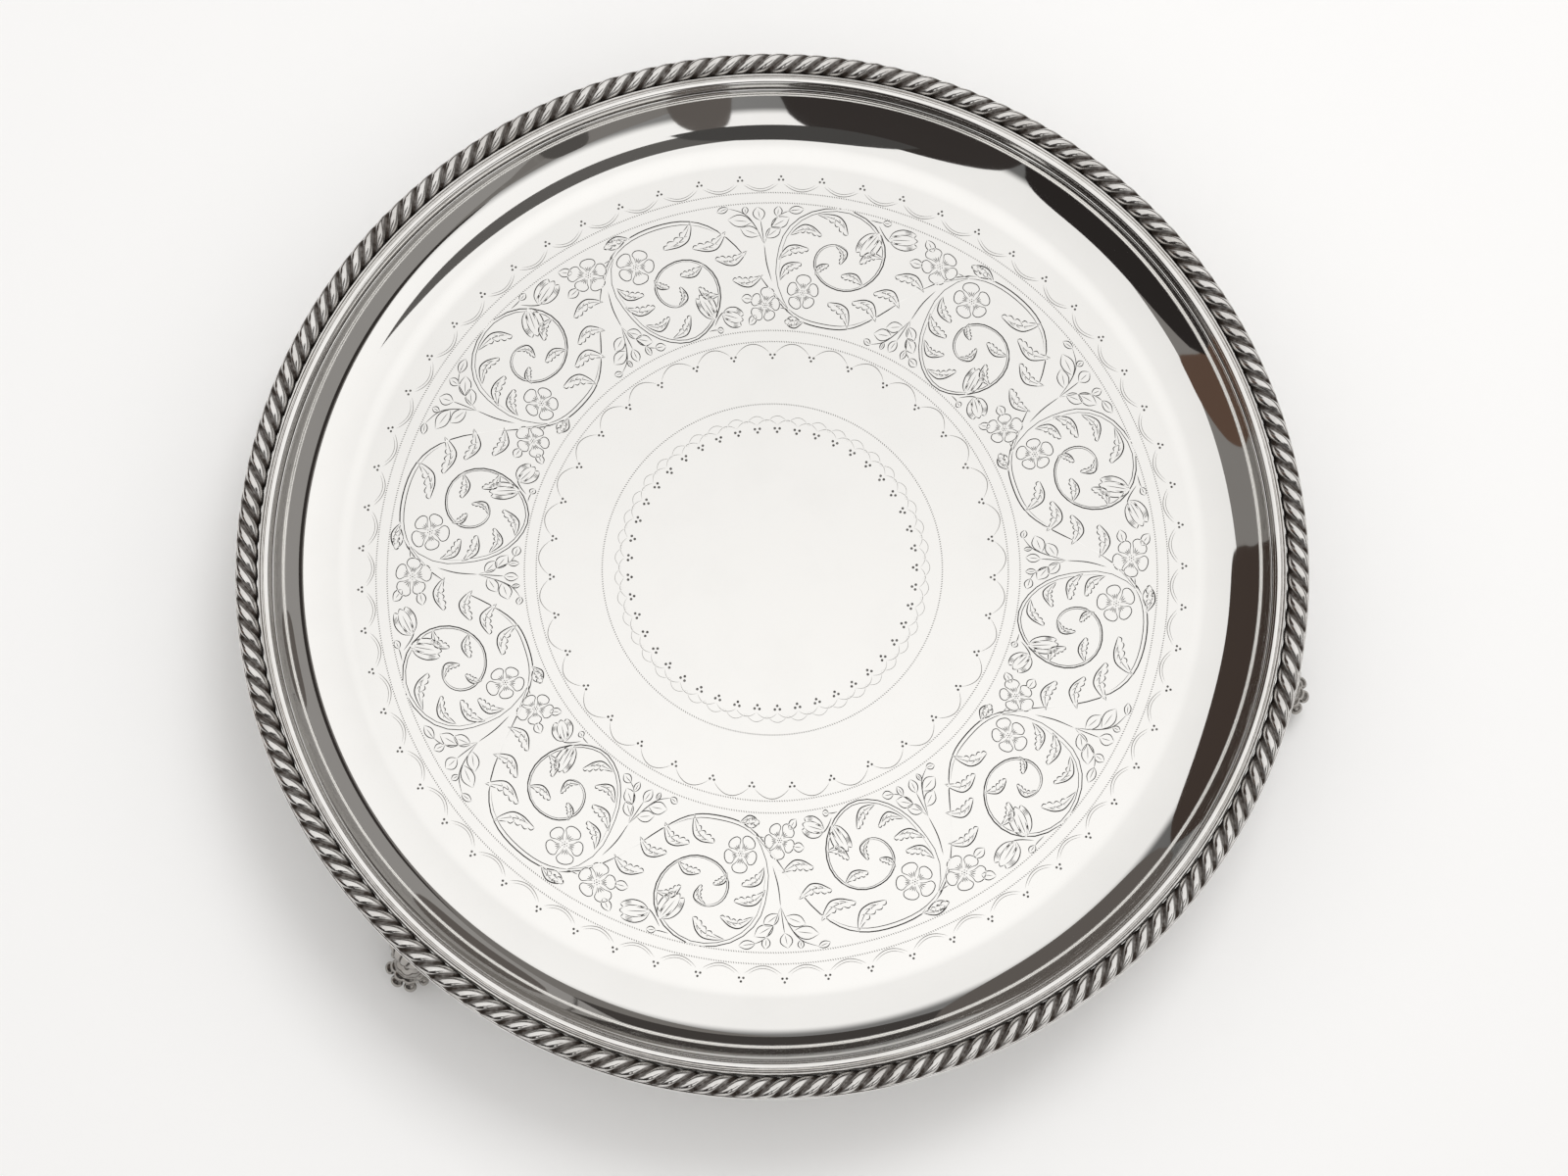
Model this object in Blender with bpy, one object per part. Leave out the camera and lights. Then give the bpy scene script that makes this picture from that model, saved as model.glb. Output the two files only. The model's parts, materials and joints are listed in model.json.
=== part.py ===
"""A round silver salver on three claw-and-ball feet. Metres, +Z up, standing on z = 0, centred on the Z axis."""

import math

import bmesh
import bpy
import numpy as np
from mathutils import Matrix, Vector

MM = 0.001

# Tray: a raised sheet with a flat well, a curved wall and a sloping flange
RIM_R = 152.5 * MM  # outside of the edge wire
WELL_R = 121.5 * MM  # where the flat of the well ends
WELL_Z = 26.0 * MM  # face of the well above the table
WALL_ACROSS = 23.1 * MM  # the wall is part of an ellipse with these half axes
WALL_UP = 22.15 * MM
WALL_END_DEG = 62  # how far round the ellipse it goes
FLANGE_R = 141.9 * MM  # where the flange starts
FLANGE_Z = 37.78 * MM  # top of the flange at FLANGE_R
FLANGE_SLOPE = 0.2
SHEET = 1.1 * MM
GAP = 0.3 * MM  # between soldered pieces

# Rope border, cast in lengths
ROPE_LENGTHS = 6
LOBES = 168
ROPE_IN, ROPE_OUT = 146.15 * MM, 152.1 * MM
ROPE_H = 3.0 * MM
LOBE_DEPTH = 0.75 * MM
LOBE_STEPS = 3  # samples in each lobe
SEAM_DEG = 319.3  # one solder seam; the others follow at equal steps

# Edge wire
WIRE_R = 0.62 * MM

# Feet
FEET_DEG = {"a": 227.5, "b": 347.5, "c": 107.5}
BALL_R = 5.2 * MM
BALL_AT = 152.4 * MM  # from the tray's axis
BALL_FLAT = 0.15 * MM  # worn off the ball where it stands
PLATE_T = 1.0 * MM
PLATE_DEG = 5.0  # half its angle
# Each front toe: angle round the ball, and its thickness against the middle toe's
TOES = ((0, 1.0), (40, 0.97), (-40, 0.97), (82, 0.75), (-82, 0.75), (180, 0.9))
TOE_R = 1.25 * MM

SEGMENTS = 96

SILVER = (0.86, 0.84, 0.80)


def clear_scene():
    for obj in list(bpy.data.objects):
        bpy.data.objects.remove(obj, do_unlink=True)


def silver(name, tint, roughness):
    """A plain silver: the base colour is SILVER times tint."""
    material = bpy.data.materials.new(name)
    material.use_nodes = True
    shader = material.node_tree.nodes["Principled BSDF"]
    shader.inputs["Base Color"].default_value = [c * tint for c in SILVER] + [1]
    shader.inputs["Metallic"].default_value = 1.0
    shader.inputs["Roughness"].default_value = roughness
    return material


def add_object(name, mesh, material):
    obj = bpy.data.objects.new(name, mesh)
    obj.data.materials.clear()
    obj.data.materials.append(material)
    bpy.context.scene.collection.objects.link(obj)
    return obj


def mesh_of(name, points, faces):
    """A mesh with its faces turned outwards."""
    mesh = bpy.data.meshes.new(name)
    mesh.from_pydata([tuple(p) for p in points], [], faces)
    shape = bmesh.new()
    shape.from_mesh(mesh)
    bmesh.ops.triangulate(shape, faces=shape.faces[:])
    bmesh.ops.recalc_face_normals(shape, faces=shape.faces[:])
    if shape.calc_volume(signed=True) < 0:
        bmesh.ops.reverse_faces(shape, faces=shape.faces[:])
    shape.to_mesh(mesh)
    shape.free()
    return mesh


def polar(radius, angle, z):
    return (radius * math.cos(angle), radius * math.sin(angle), z)


def swept(name, rings, closed):
    """A skin over rings of equally many points, closed on itself or with a cap at each end."""
    count = len(rings[0])
    points = [p for ring in rings for p in ring]
    faces = []
    for i in range(len(rings) if closed else len(rings) - 1):
        near, far = i * count, (i + 1) % len(rings) * count
        for j in range(count):
            k = (j + 1) % count
            faces.append((near + j, near + k, far + k, far + j))
    if not closed:
        faces.append(tuple(range(count)))
        faces.append(tuple(range(len(points) - count, len(points))))
    return mesh_of(name, points, faces)


def lathe(name, outline, start=None, end=None, segments=SEGMENTS):
    """An outline of (radius, z) points turned about Z: all the way round, or from start to end in radians."""
    closed = start is None
    angles = (
        [2 * math.pi * i / segments for i in range(segments)]
        if closed
        else np.linspace(start, end, segments + 1)
    )
    return swept(name, [[polar(r, a, z) for r, z in outline] for a in angles], closed)


def turned(name, outline, segments):
    """An open outline of (radius, z) points whose two ends are on the axis, turned about Z."""
    inner = outline[1:-1]
    points = [(0, 0, outline[0][1]), (0, 0, outline[-1][1])]
    for i in range(segments):
        angle = 2 * math.pi * i / segments
        points += [polar(r, angle, z) for r, z in inner]
    count, faces = len(inner), []
    for i in range(segments):
        a, b = 2 + i * count, 2 + (i + 1) % segments * count
        faces.append((0, a, b))
        faces.append((1, b + count - 1, a + count - 1))
        for j in range(count - 1):
            faces.append((a + j, a + j + 1, b + j + 1, b + j))
    return mesh_of(name, points, faces)


def flange_top(radius):
    return FLANGE_Z + FLANGE_SLOPE * (radius - FLANGE_R)


def flange_bottom(radius):
    return flange_top(radius) - SHEET * math.hypot(1, FLANGE_SLOPE)


def offset_down(line, distance):
    """The line moved to its lower and outer side by distance. Its first point moves straight down."""
    moved = []
    for i, (r, z) in enumerate(line):
        before, after = line[max(i - 1, 0)], line[min(i + 1, len(line) - 1)]
        along = Vector((after[0] - before[0], after[1] - before[1])).normalized()
        moved.append((r + along.y * distance, z - along.x * distance))
    return moved


def tray_body(material):
    """One raised sheet: its upper line from the axis outwards, and the same line moved down by its thickness."""
    line = [(0, WELL_Z), (WELL_R, WELL_Z)]
    for step in range(1, 7):
        t = math.radians(WALL_END_DEG * step / 6)
        line.append(
            (
                WELL_R + WALL_ACROSS * math.sin(t),
                WELL_Z + WALL_UP * (1 - math.cos(t)),
            )
        )
    line += [(r, flange_top(r)) for r in (143.2 * MM, 150.9 * MM)]
    under = offset_down(line, SHEET)
    under[0] = (0, WELL_Z - SHEET)
    under[1] = (WELL_R, WELL_Z - SHEET)
    under[-1] = (line[-1][0], flange_bottom(line[-1][0]))
    mesh = turned("tray_body", line + under[::-1], SEGMENTS)
    return add_object("tray_body", mesh, material)


def on_flange(profile):
    """(radius in mm, height over the flange in mm) to (radius, z)."""
    return [(r * MM, flange_top(r * MM) + h * MM) for r, h in profile]


def moulding(material):
    """A steep side at the head of the wall, then a reed, a groove and a fillet, going outwards."""
    side = [(142.2, 0.3), (142.2, 1.3)]
    reed = [(142.5, 2.1), (143.0, 2.75), (143.6, 2.95), (144.2, 2.7), (144.6, 2.1)]
    groove = [(144.95, 1.65), (145.25, 1.75)]
    fillet = [(145.55, 1.95), (145.85, 1.5), (145.85, 0.3)]
    mesh = lathe("moulding", on_flange(side + reed + groove + fillet))
    return add_object("rim_moulding", mesh, material)


def edge_wire(material):
    centre_r = RIM_R - WIRE_R
    centre_z = flange_top(centre_r) - 0.66 * MM
    outline = [
        (
            centre_r + WIRE_R * math.cos(math.tau * i / 8),
            centre_z + WIRE_R * math.sin(math.tau * i / 8),
        )
        for i in range(8)
    ]
    return add_object("edge_wire", lathe("edge_wire", outline), material)


def rope_section(phase):
    """(radius, z, share of the width) round one cut through the border. phase runs 0 to 1 over each lobe."""
    lobe = math.sqrt(abs(math.sin(math.pi * phase)))
    width = ROPE_OUT - ROPE_IN + 0.2 * MM * (lobe - 1)
    points = []
    for share in (0, 0.0, 0.22, 0.5, 0.78, 1.0, 1):
        radius = ROPE_IN + width * share
        base = flange_top(radius) + GAP
        points.append([radius, base, share])
    arch = (0, 0.30, 0.80, 1.0, 0.80, 0.30, 0)
    for point, rise in zip(points, arch):
        height = ROPE_H * rise
        point[1] += height - (LOBE_DEPTH * (1 - lobe) * rise)
    return points


def rope_length(index, material):
    """One cast length of the border. Its lobes lean one lobe back, clockwise, from the inner to the outer edge."""
    pitch = math.tau / LOBES
    lobes = LOBES // ROPE_LENGTHS
    seam = GAP / (2 * ROPE_OUT)
    start = math.radians(SEAM_DEG) + index * lobes * pitch + seam + pitch / 2
    steps = lobes * LOBE_STEPS
    rings = []
    for i in range(steps + 1):
        along = i / steps
        angle = start + along * (lobes * pitch - 2 * seam)
        section = rope_section(along * lobes)
        rings.append([polar(r, angle - pitch * share, z) for r, z, share in section])
    name = f"rope_border_{index + 1}"
    return add_object(name, swept(name, rings, closed=False), material)


def ellipse_ring(centre, along, half_side, half_depth, count=12):
    """A ring of points across a limb: half_side runs along Y, half_depth at right angles to it and to the limb."""
    along = along.normalized()
    side = Vector((0, 1, 0))
    depth = side.cross(along).normalized()
    return [
        centre
        + side * (half_side * math.cos(math.tau * i / count))
        + depth * (half_depth * math.sin(math.tau * i / count))
        for i in range(count)
    ]


def limb(name, centres, sizes):
    """A limb through the centres, in the XZ plane, with (half side, half depth) at each."""
    rings = []
    for i, (centre, size) in enumerate(zip(centres, sizes)):
        before, after = centres[max(i - 1, 0)], centres[min(i + 1, len(centres) - 1)]
        rings.append(ellipse_ring(centre, after - before, *size))
    return swept(name, rings, closed=False)


def leg_mesh():
    """The leg, from under its plate through the broad knee and the ankle to the paw."""
    top_r = 146.6 * MM
    top_z = flange_bottom(top_r) - (2 * GAP + PLATE_T) * math.hypot(1, FLANGE_SLOPE)
    up = Vector((-FLANGE_SLOPE, 0, 1)).normalized()
    top = Vector((top_r, 0, top_z))
    centres = [top, top - up * 1.6 * MM]
    centres += [
        Vector((r * MM, 0, z * MM))
        for r, z in (
            (147.8, 31.6),
            (150.2, 28.6),
            (151.3, 24.8),
            (151.3, 20.5),
            (151.5, 17.0),
            (152.0, 13.6),
            (152.3, 10.4),
        )
    ]
    sizes = [
        (a * MM, b * MM)
        for a, b in (
            (12.0, 3.0),
            (12.3, 3.4),
            (10.6, 4.0),
            (7.4, 3.9),
            (4.2, 3.1),
            (2.7, 2.5),
            (2.8, 2.7),
            (4.2, 4.2),
            (4.6, 4.6),
        )
    ]
    return limb("leg", centres, sizes)


def toe_mesh(degrees, share):
    """A toe over the ball, built for the +X side and then turned about the ball's upright axis."""
    centres, sizes = [], []
    for polar_deg, thick in (
        (6, 1.0),
        (24, 1.2),
        (42, 1.3),
        (58, 0.95),
        (74, 1.12),
        (90, 0.98),
        (106, 0.7),
        (120, 0.36),
    ):
        t = math.radians(polar_deg)
        half = TOE_R * share * thick
        reach = BALL_R + GAP + half * 0.9
        centres.append(Vector((reach * math.sin(t), 0, reach * math.cos(t))))
        sizes.append((half * 1.25, half))
    mesh = limb("toe", centres, sizes)
    mesh.transform(Matrix.Rotation(math.radians(degrees), 4, "Z"))
    mesh.transform(Matrix.Translation((BALL_AT, 0, BALL_R - BALL_FLAT)))
    return mesh


def ball_outline(radius, flat):
    """(radius, z) from the bottom to the top of a ball with a flat cut at z = 0."""
    centre = radius - flat
    first = math.asin((centre if flat else radius) / radius)
    outline = [(0, centre - radius * math.sin(first))]
    for angle in np.linspace(-first, math.pi / 2, 10):
        outline.append((radius * math.cos(angle), centre + radius * math.sin(angle)))
    outline[-1] = (0, centre + radius)
    return outline


def joined(name, base, others, operation):
    """base with the other meshes added to it or cut from it, as one mesh."""
    holder = bpy.data.objects.new(name, base)
    bpy.context.scene.collection.objects.link(holder)
    tools = []
    for other in others:
        tool = bpy.data.objects.new(name + "_tool", other)
        bpy.context.scene.collection.objects.link(tool)
        modifier = holder.modifiers.new("boolean", "BOOLEAN")
        modifier.operation, modifier.object = operation, tool
        modifier.solver = "MANIFOLD"
        tools.append(tool)
    graph = bpy.context.evaluated_depsgraph_get()
    mesh = bpy.data.meshes.new_from_object(holder.evaluated_get(graph))
    for obj in [holder] + tools:
        bpy.data.objects.remove(obj, do_unlink=True)
    return mesh


def claw_mesh():
    """Leg and toes as one casting, hollowed where it grips the ball."""
    toes = [toe_mesh(degrees, share) for degrees, share in TOES]
    claw = joined("claw", leg_mesh(), toes, "UNION")
    hollow = turned("hollow", ball_outline(BALL_R + GAP, 0), 20)
    hollow.transform(Matrix.Translation((BALL_AT, 0, -GAP - BALL_FLAT)))
    return joined("claw_hollow", claw, [hollow], "DIFFERENCE")


def feet(material_leg, material_ball):
    """Plate, claw and ball of each foot: built on the +X side and turned to their places."""
    ball = turned("ball", ball_outline(BALL_R, BALL_FLAT), 20)
    ball.transform(Matrix.Translation((BALL_AT, 0, 0)))
    claw = claw_mesh()
    half = math.radians(PLATE_DEG)
    top = [(r * MM, flange_bottom(r * MM) - GAP) for r in (143.5, 150.4)]
    thick = PLATE_T * math.hypot(1, FLANGE_SLOPE)
    plate = lathe(
        "plate", top + [(r, z - thick) for r, z in top[::-1]], -half, half, 4
    )
    for letter, degrees in FEET_DEG.items():
        for kind, mesh, material in (
            ("plate", plate, material_leg),
            ("claw", claw, material_leg),
            ("ball", ball, material_ball),
        ):
            obj = add_object(f"foot_{letter}_{kind}", mesh, material)
            obj.rotation_euler.z = math.radians(degrees)


def main():
    clear_scene()
    sheet = silver("sheet_silver", 1.0, 0.08)
    drawn = silver("drawn_silver", 1.0, 0.12)
    border = silver("cast_border_silver", 0.9, 0.2)
    leg = silver("cast_foot_silver", 0.85, 0.25)
    ball = silver("ball_silver", 0.95, 0.12)
    tray_body(sheet)
    moulding(drawn)
    edge_wire(drawn)
    for index in range(ROPE_LENGTHS):
        rope_length(index, border)
    feet(leg, ball)


main()
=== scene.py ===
"""The looks of a round silver salver: engraved well, reeded rim, rope border, claw-and-ball feet.

Metres, +Z up, except where a comment says millimetres.
"""

import json
import math

import bmesh
import bpy
import numpy as np
from mathutils import Matrix, Vector
from mathutils.geometry import delaunay_2d_cdt


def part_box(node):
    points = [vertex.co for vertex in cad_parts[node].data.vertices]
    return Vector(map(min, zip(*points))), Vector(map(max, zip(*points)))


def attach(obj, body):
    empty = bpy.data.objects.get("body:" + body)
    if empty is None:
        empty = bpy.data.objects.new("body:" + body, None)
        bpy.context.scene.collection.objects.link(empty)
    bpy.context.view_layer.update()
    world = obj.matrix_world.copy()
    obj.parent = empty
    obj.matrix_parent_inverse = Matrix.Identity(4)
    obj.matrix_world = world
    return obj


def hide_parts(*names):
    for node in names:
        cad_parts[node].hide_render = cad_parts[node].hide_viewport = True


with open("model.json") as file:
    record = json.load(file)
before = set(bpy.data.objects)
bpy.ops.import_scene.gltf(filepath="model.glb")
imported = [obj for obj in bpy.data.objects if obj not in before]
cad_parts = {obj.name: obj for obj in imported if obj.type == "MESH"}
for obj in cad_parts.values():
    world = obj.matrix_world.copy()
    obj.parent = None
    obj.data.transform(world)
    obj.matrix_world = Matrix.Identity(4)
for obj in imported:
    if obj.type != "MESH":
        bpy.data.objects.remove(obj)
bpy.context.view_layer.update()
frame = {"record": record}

MM = 0.001
TAU = math.tau

# Sizes the frame gives
RIM_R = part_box("edge_wire")[1].x
MOUNTS = {m["name"]: m["pos_m"] for m in frame["record"]["mounts"]}
WELL_Z = MOUNTS["well_face"][2]
FEET = {
    letter: math.atan2(MOUNTS[f"foot_{letter}_rest"][1], MOUNTS[f"foot_{letter}_rest"][0])
    for letter in "abc"
}
BALL_AT = math.hypot(*MOUNTS["foot_a_rest"][:2])

# Sizes shared with the CAD
WELL_R = 121.5 * MM
WALL_ACROSS, WALL_UP = 23.1 * MM, 22.15 * MM  # half axes of the wall's ellipse
WALL_END_DEG = 62  # how far round the ellipse the wall goes
FLANGE_R = 141.9 * MM  # where the flange starts, and its height there
FLANGE_Z = 37.78 * MM
FLANGE_SLOPE = 0.2
SHEET = 1.1 * MM  # thickness
SOLDER = 0.02 * MM  # what shows of the gap between soldered pieces
ROPE_LENGTHS, LOBES = 6, 168  # cast lengths, and strands in all of them together
ROPE_IN, ROPE_OUT = 146.15 * MM, 152.15 * MM
ROPE_H = 3.1 * MM
SEAM_DEG = 319.3  # where the first length starts
WIRE_R = 0.62 * MM
BALL_R = 5.2 * MM
BALL_FLAT = 0.15 * MM  # how much is worn off under a ball

ROUND = 384  # steps round the tray


# ---------------------------------------------------------------- materials


class Nodes:
    """A small helper to build a node tree."""

    def __init__(self, tree):
        self.tree = tree

    def add(self, kind, **settings):
        node = self.tree.nodes.new(kind)
        for key, value in settings.items():
            if key in node.inputs:
                node.inputs[key].default_value = value
            else:
                setattr(node, key, value)
        return node

    def link(self, out, into):
        self.tree.links.new(out, into)


TARNISH_AND_SHADE_BREAKUP = 0.7  # how far a fine noise breaks up the tarnish and painted shade
TARNISH_ROUGHNESS = 0.55
HAIRLINES = 0.35  # what fine scratches add to the roughness, as a share of it


def metal(name, clean, dull, recess, polish, bump):
    """Silver that is clean on the crests, and tarnished and darkened with painted shade where the mesh's
    "recess" attribute is high.

    clean and recess are colours, recess being that of the tarnish and painted shade, and dull is the colour
    of the faint mottling. polish is the roughness, and bump is the depth of the fine unevenness in mm.
    """
    material = bpy.data.materials.new(name)
    material.use_nodes = True
    n = Nodes(material.node_tree)
    shader = material.node_tree.nodes["Principled BSDF"]
    shader.inputs["Metallic"].default_value = 1.0
    place = n.add("ShaderNodeTexCoord")

    mottle = n.add("ShaderNodeTexNoise", Scale=55.0, Detail=5.0, Roughness=0.6)
    n.link(place.outputs["Object"], mottle.inputs["Vector"])
    worn = n.add("ShaderNodeMix", data_type="RGBA")
    worn.inputs["A"].default_value = (*clean, 1)
    worn.inputs["B"].default_value = (*dull, 1)
    ease = n.add("ShaderNodeMapRange")
    ease.inputs["From Min"].default_value = 0.45
    ease.inputs["From Max"].default_value = 0.75
    n.link(mottle.outputs["Fac"], ease.inputs["Value"])
    n.link(ease.outputs["Result"], worn.inputs["Factor"])

    # The recess attribute is tarnish together with painted shade in hollows, creases and under the claws
    deep = n.add("ShaderNodeAttribute", attribute_name="recess")
    tarnish_and_shade_noise = n.add("ShaderNodeTexNoise", Scale=900.0, Detail=3.0)
    n.link(place.outputs["Object"], tarnish_and_shade_noise.inputs["Vector"])
    breakup = n.add("ShaderNodeMath", operation="MULTIPLY_ADD")
    breakup.inputs[1].default_value = TARNISH_AND_SHADE_BREAKUP
    breakup.inputs[2].default_value = -TARNISH_AND_SHADE_BREAKUP / 2
    n.link(tarnish_and_shade_noise.outputs["Fac"], breakup.inputs[0])
    total = n.add("ShaderNodeMath", operation="ADD", use_clamp=True)
    n.link(deep.outputs["Fac"], total.inputs[0])
    shaded = n.add("ShaderNodeMath", operation="MULTIPLY")
    n.link(breakup.outputs[0], shaded.inputs[0])
    n.link(deep.outputs["Fac"], shaded.inputs[1])
    n.link(shaded.outputs[0], total.inputs[1])
    colour = n.add("ShaderNodeMix", data_type="RGBA")
    colour.inputs["B"].default_value = (*recess, 1)
    n.link(total.outputs[0], colour.inputs["Factor"])
    n.link(worn.outputs["Result"], colour.inputs["A"])
    n.link(colour.outputs["Result"], shader.inputs["Base Color"])

    rough = n.add("ShaderNodeMapRange")
    rough.inputs["To Min"].default_value = polish
    rough.inputs["To Max"].default_value = TARNISH_ROUGHNESS
    n.link(total.outputs[0], rough.inputs["Value"])
    hairs = n.add("ShaderNodeTexNoise", Scale=260.0, Detail=8.0, Roughness=0.75, Distortion=1.2)
    n.link(place.outputs["Object"], hairs.inputs["Vector"])
    wiped = n.add("ShaderNodeMath", operation="MULTIPLY_ADD")
    wiped.inputs[1].default_value = HAIRLINES * polish
    n.link(hairs.outputs["Fac"], wiped.inputs[0])
    n.link(rough.outputs["Result"], wiped.inputs[2])
    n.link(wiped.outputs[0], shader.inputs["Roughness"])

    wave = n.add("ShaderNodeTexNoise", Scale=22.0, Detail=2.0)
    n.link(place.outputs["Object"], wave.inputs["Vector"])
    heights = n.add("ShaderNodeMath", operation="MULTIPLY_ADD")
    heights.inputs[1].default_value = 0.04
    n.link(hairs.outputs["Fac"], heights.inputs[0])
    n.link(wave.outputs["Fac"], heights.inputs[2])
    relief = n.add("ShaderNodeBump", Strength=1.0, Distance=bump * MM)
    n.link(heights.outputs[0], relief.inputs["Height"])
    n.link(relief.outputs["Normal"], shader.inputs["Normal"])
    return material


# ------------------------------------------------------------- mesh helpers


def polar(radius, angle, z):
    return (radius * math.cos(angle), radius * math.sin(angle), z)


def piece(name, points, faces, material, stands_for, recess=None, domain="POINT"):
    """A mesh that rides on the one body, with its tarnish and painted shade in the recess attribute."""
    mesh = bpy.data.meshes.new(name)
    mesh.from_pydata([tuple(p) for p in points], [], faces)
    mesh.polygons.foreach_set("use_smooth", [True] * len(mesh.polygons))
    attribute = mesh.attributes.new("recess", "FLOAT", domain)
    if recess is not None:
        attribute.data.foreach_set("value", np.asarray(recess, np.float32))
    mesh.materials.append(material)
    obj = bpy.data.objects.new(name, mesh)
    bpy.context.scene.collection.objects.link(obj)
    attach(obj, "root")
    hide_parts(*stands_for)
    return obj


def grid_faces(rows, columns, wrap_rows, wrap_columns, flip=False):
    """Faces of a grid of points laid down row by row, closed on itself where it wraps."""
    faces = []
    for i in range(rows if wrap_rows else rows - 1):
        for j in range(columns if wrap_columns else columns - 1):
            k, m = (i + 1) % rows, (j + 1) % columns
            face = (i * columns + j, k * columns + j, k * columns + m, i * columns + m)
            faces.append(face[::-1] if flip else face)
    return faces


def smooth_line(points, steps):
    """A Catmull-Rom curve through the points, with steps pieces between each two."""
    p = np.asarray(points, float)
    p = np.vstack([2 * p[0] - p[1], p, 2 * p[-1] - p[-2]])
    made = []
    for i in range(1, len(p) - 2):
        a, b, c, d = p[i - 1 : i + 3]
        for t in np.arange(steps) / steps:
            made.append(
                0.5
                * (
                    2 * b
                    + (c - a) * t
                    + (2 * a - 5 * b + 4 * c - d) * t**2
                    + (3 * b - a - 3 * c + d) * t**3
                )
            )
    made.append(p[-2])
    return np.array(made)


def flange_top(radius):
    """Height of the flange's upper side, which rises outwards."""
    return FLANGE_Z + FLANGE_SLOPE * (radius - FLANGE_R)


# ---------------------------------------------------------------- engraving


LINE_WEIGHT = 1.4  # how much wider a cut is than the width it is drawn with
TAPER = 0.6  # power that gives a cut its blunt or sharp ends
PIT_TONE = 0.85  # tarnish and painted shade in a punched dot
CROSSING = 0.02  # depth in mm where two cuts' edges cross
MERGE = 1e-4  # mm; points that are nearer to each other become one


class Engraving:
    """Graver cuts and punched dots in the plane of the well, in mm. Each becomes a real groove or pit."""

    def __init__(self):
        self.points, self.depths, self.tones, self.edges = [], [], [], []

    def _add(self, xy, depth, tone=0.0):
        self.points.append(Vector(xy))
        self.depths.append(depth)
        self.tones.append(tone)
        return len(self.points) - 1

    def _chain(self, chain):
        self.edges += zip(chain, chain[1:])

    def cut(self, line, width, ends=(0.0, 0.0), tone=1.0):
        """A V groove along the line. It is widest in the middle and narrows to ends times its width.

        tone is how dark its tarnish and painted shade are, from 0 to 1.
        """
        width *= LINE_WEIGHT
        line = np.asarray(line, float)
        count = len(line)
        if count < 3:
            line = np.array([line[0], (line[0] + line[-1]) / 2, line[-1]])
            count = 3
        tangent = np.gradient(line, axis=0)
        tangent /= np.maximum(np.linalg.norm(tangent, axis=1, keepdims=True), 1e-9)
        normal = np.stack([-tangent[:, 1], tangent[:, 0]], 1)
        share = np.linspace(0, 1, count)
        taper = np.sin(math.pi * share) ** TAPER
        taper = np.maximum(taper, np.where(share < 0.5, ends[0], ends[1]))
        half = width / 2 * taper
        deep = 0.5 * width * taper
        middle = [self._add(line[i], deep[i], tone) for i in range(1, count - 1)]
        first, last = self._add(line[0], 0), self._add(line[-1], 0)
        self._chain([first, *middle, last])
        for side in (1, -1):
            edge = [self._add(line[i] + side * normal[i] * half[i], 0) for i in range(1, count - 1)]
            self._chain([first, *edge, last])

    def _ring(self, x, y, radius, depth, tone, steps):
        turns = [TAU * i / steps for i in range(steps)]
        ring = [self._add((x + radius * math.cos(a), y + radius * math.sin(a)), depth, tone) for a in turns]
        self._chain([*ring, ring[0]])

    def dot(self, x, y, radius, depth, sides=8):
        """A punched pit: steep sides to half its radius, then a shallow floor."""
        self._ring(x, y, radius, 0, 0.0, sides)
        self._ring(x, y, 0.5 * radius, 0.8 * depth, PIT_TONE, sides)
        self._add((x, y), depth, PIT_TONE)

    def mesh(self, radius, steps, z):
        """(points, faces, rim points, tarnish and painted shade of each face) of the disc with all cuts sunk
        in it.
        """
        start = len(self.points)
        self._ring(0, 0, radius / MM, 0, 0.0, steps)
        verts, _, faces, origins, _, _ = delaunay_2d_cdt(self.points, self.edges, [], 0, MERGE, True)
        points, dark = [], []
        for v, origin in zip(verts, origins):
            deepest = max(origin, key=lambda i: self.depths[i], default=None)
            sunk = CROSSING if deepest is None else self.depths[deepest]
            points.append((v.x * MM, v.y * MM, z - sunk * MM))
            dark.append(0.0 if deepest is None else self.tones[deepest])
        where = {}
        for index, origin in enumerate(origins):
            for i in origin:
                if i >= start:
                    where[i - start] = index
        # Each face takes the darkest tarnish and painted shade of its corners
        tarnish_and_shade = [max(dark[i] for i in face) for face in faces]
        return points, [tuple(f) for f in faces], [where[i] for i in range(steps)], tarnish_and_shade


# The scroll band is drawn flat, in mm: s runs clockwise along the band, h outwards from its middle
BAND_R = 91.4
HALF_PERIOD = 30.0  # degrees from one scroll to the next
HALF_S = math.radians(HALF_PERIOD) * BAND_R
FIRST_SCROLL = 18.6  # degrees


class Band:
    """Draws in the band's own (s, h): moved along it, and mirrored across it for every second scroll."""

    def __init__(self, engraving, angle, mirror):
        self.engraving, self.angle, self.side = engraving, math.radians(angle), -1 if mirror else 1

    def place(self, line):
        line = np.asarray(line, float)
        turn = self.angle - line[:, 0] / BAND_R
        radius = BAND_R + self.side * line[:, 1]
        return np.stack([radius * np.cos(turn), radius * np.sin(turn)], 1)

    def cut(self, line, width, ends=(0.0, 0.0), steps=5):
        self.engraving.cut(self.place(smooth_line(line, steps)), width, ends)

    def dot(self, s, h, radius):
        (x, y), = self.place([(s, h)])
        self.engraving.dot(x, y, radius, radius * 0.5, 6)


def bent(base, tip, bow, share):
    """The point at a share of the way from base to tip, pushed sideways by bow times sin."""
    base, tip = np.asarray(base, float), np.asarray(tip, float)
    along = tip - base
    across = np.array([-along[1], along[0]])
    return base + along * share + across * bow * math.sin(math.pi * share)


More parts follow.
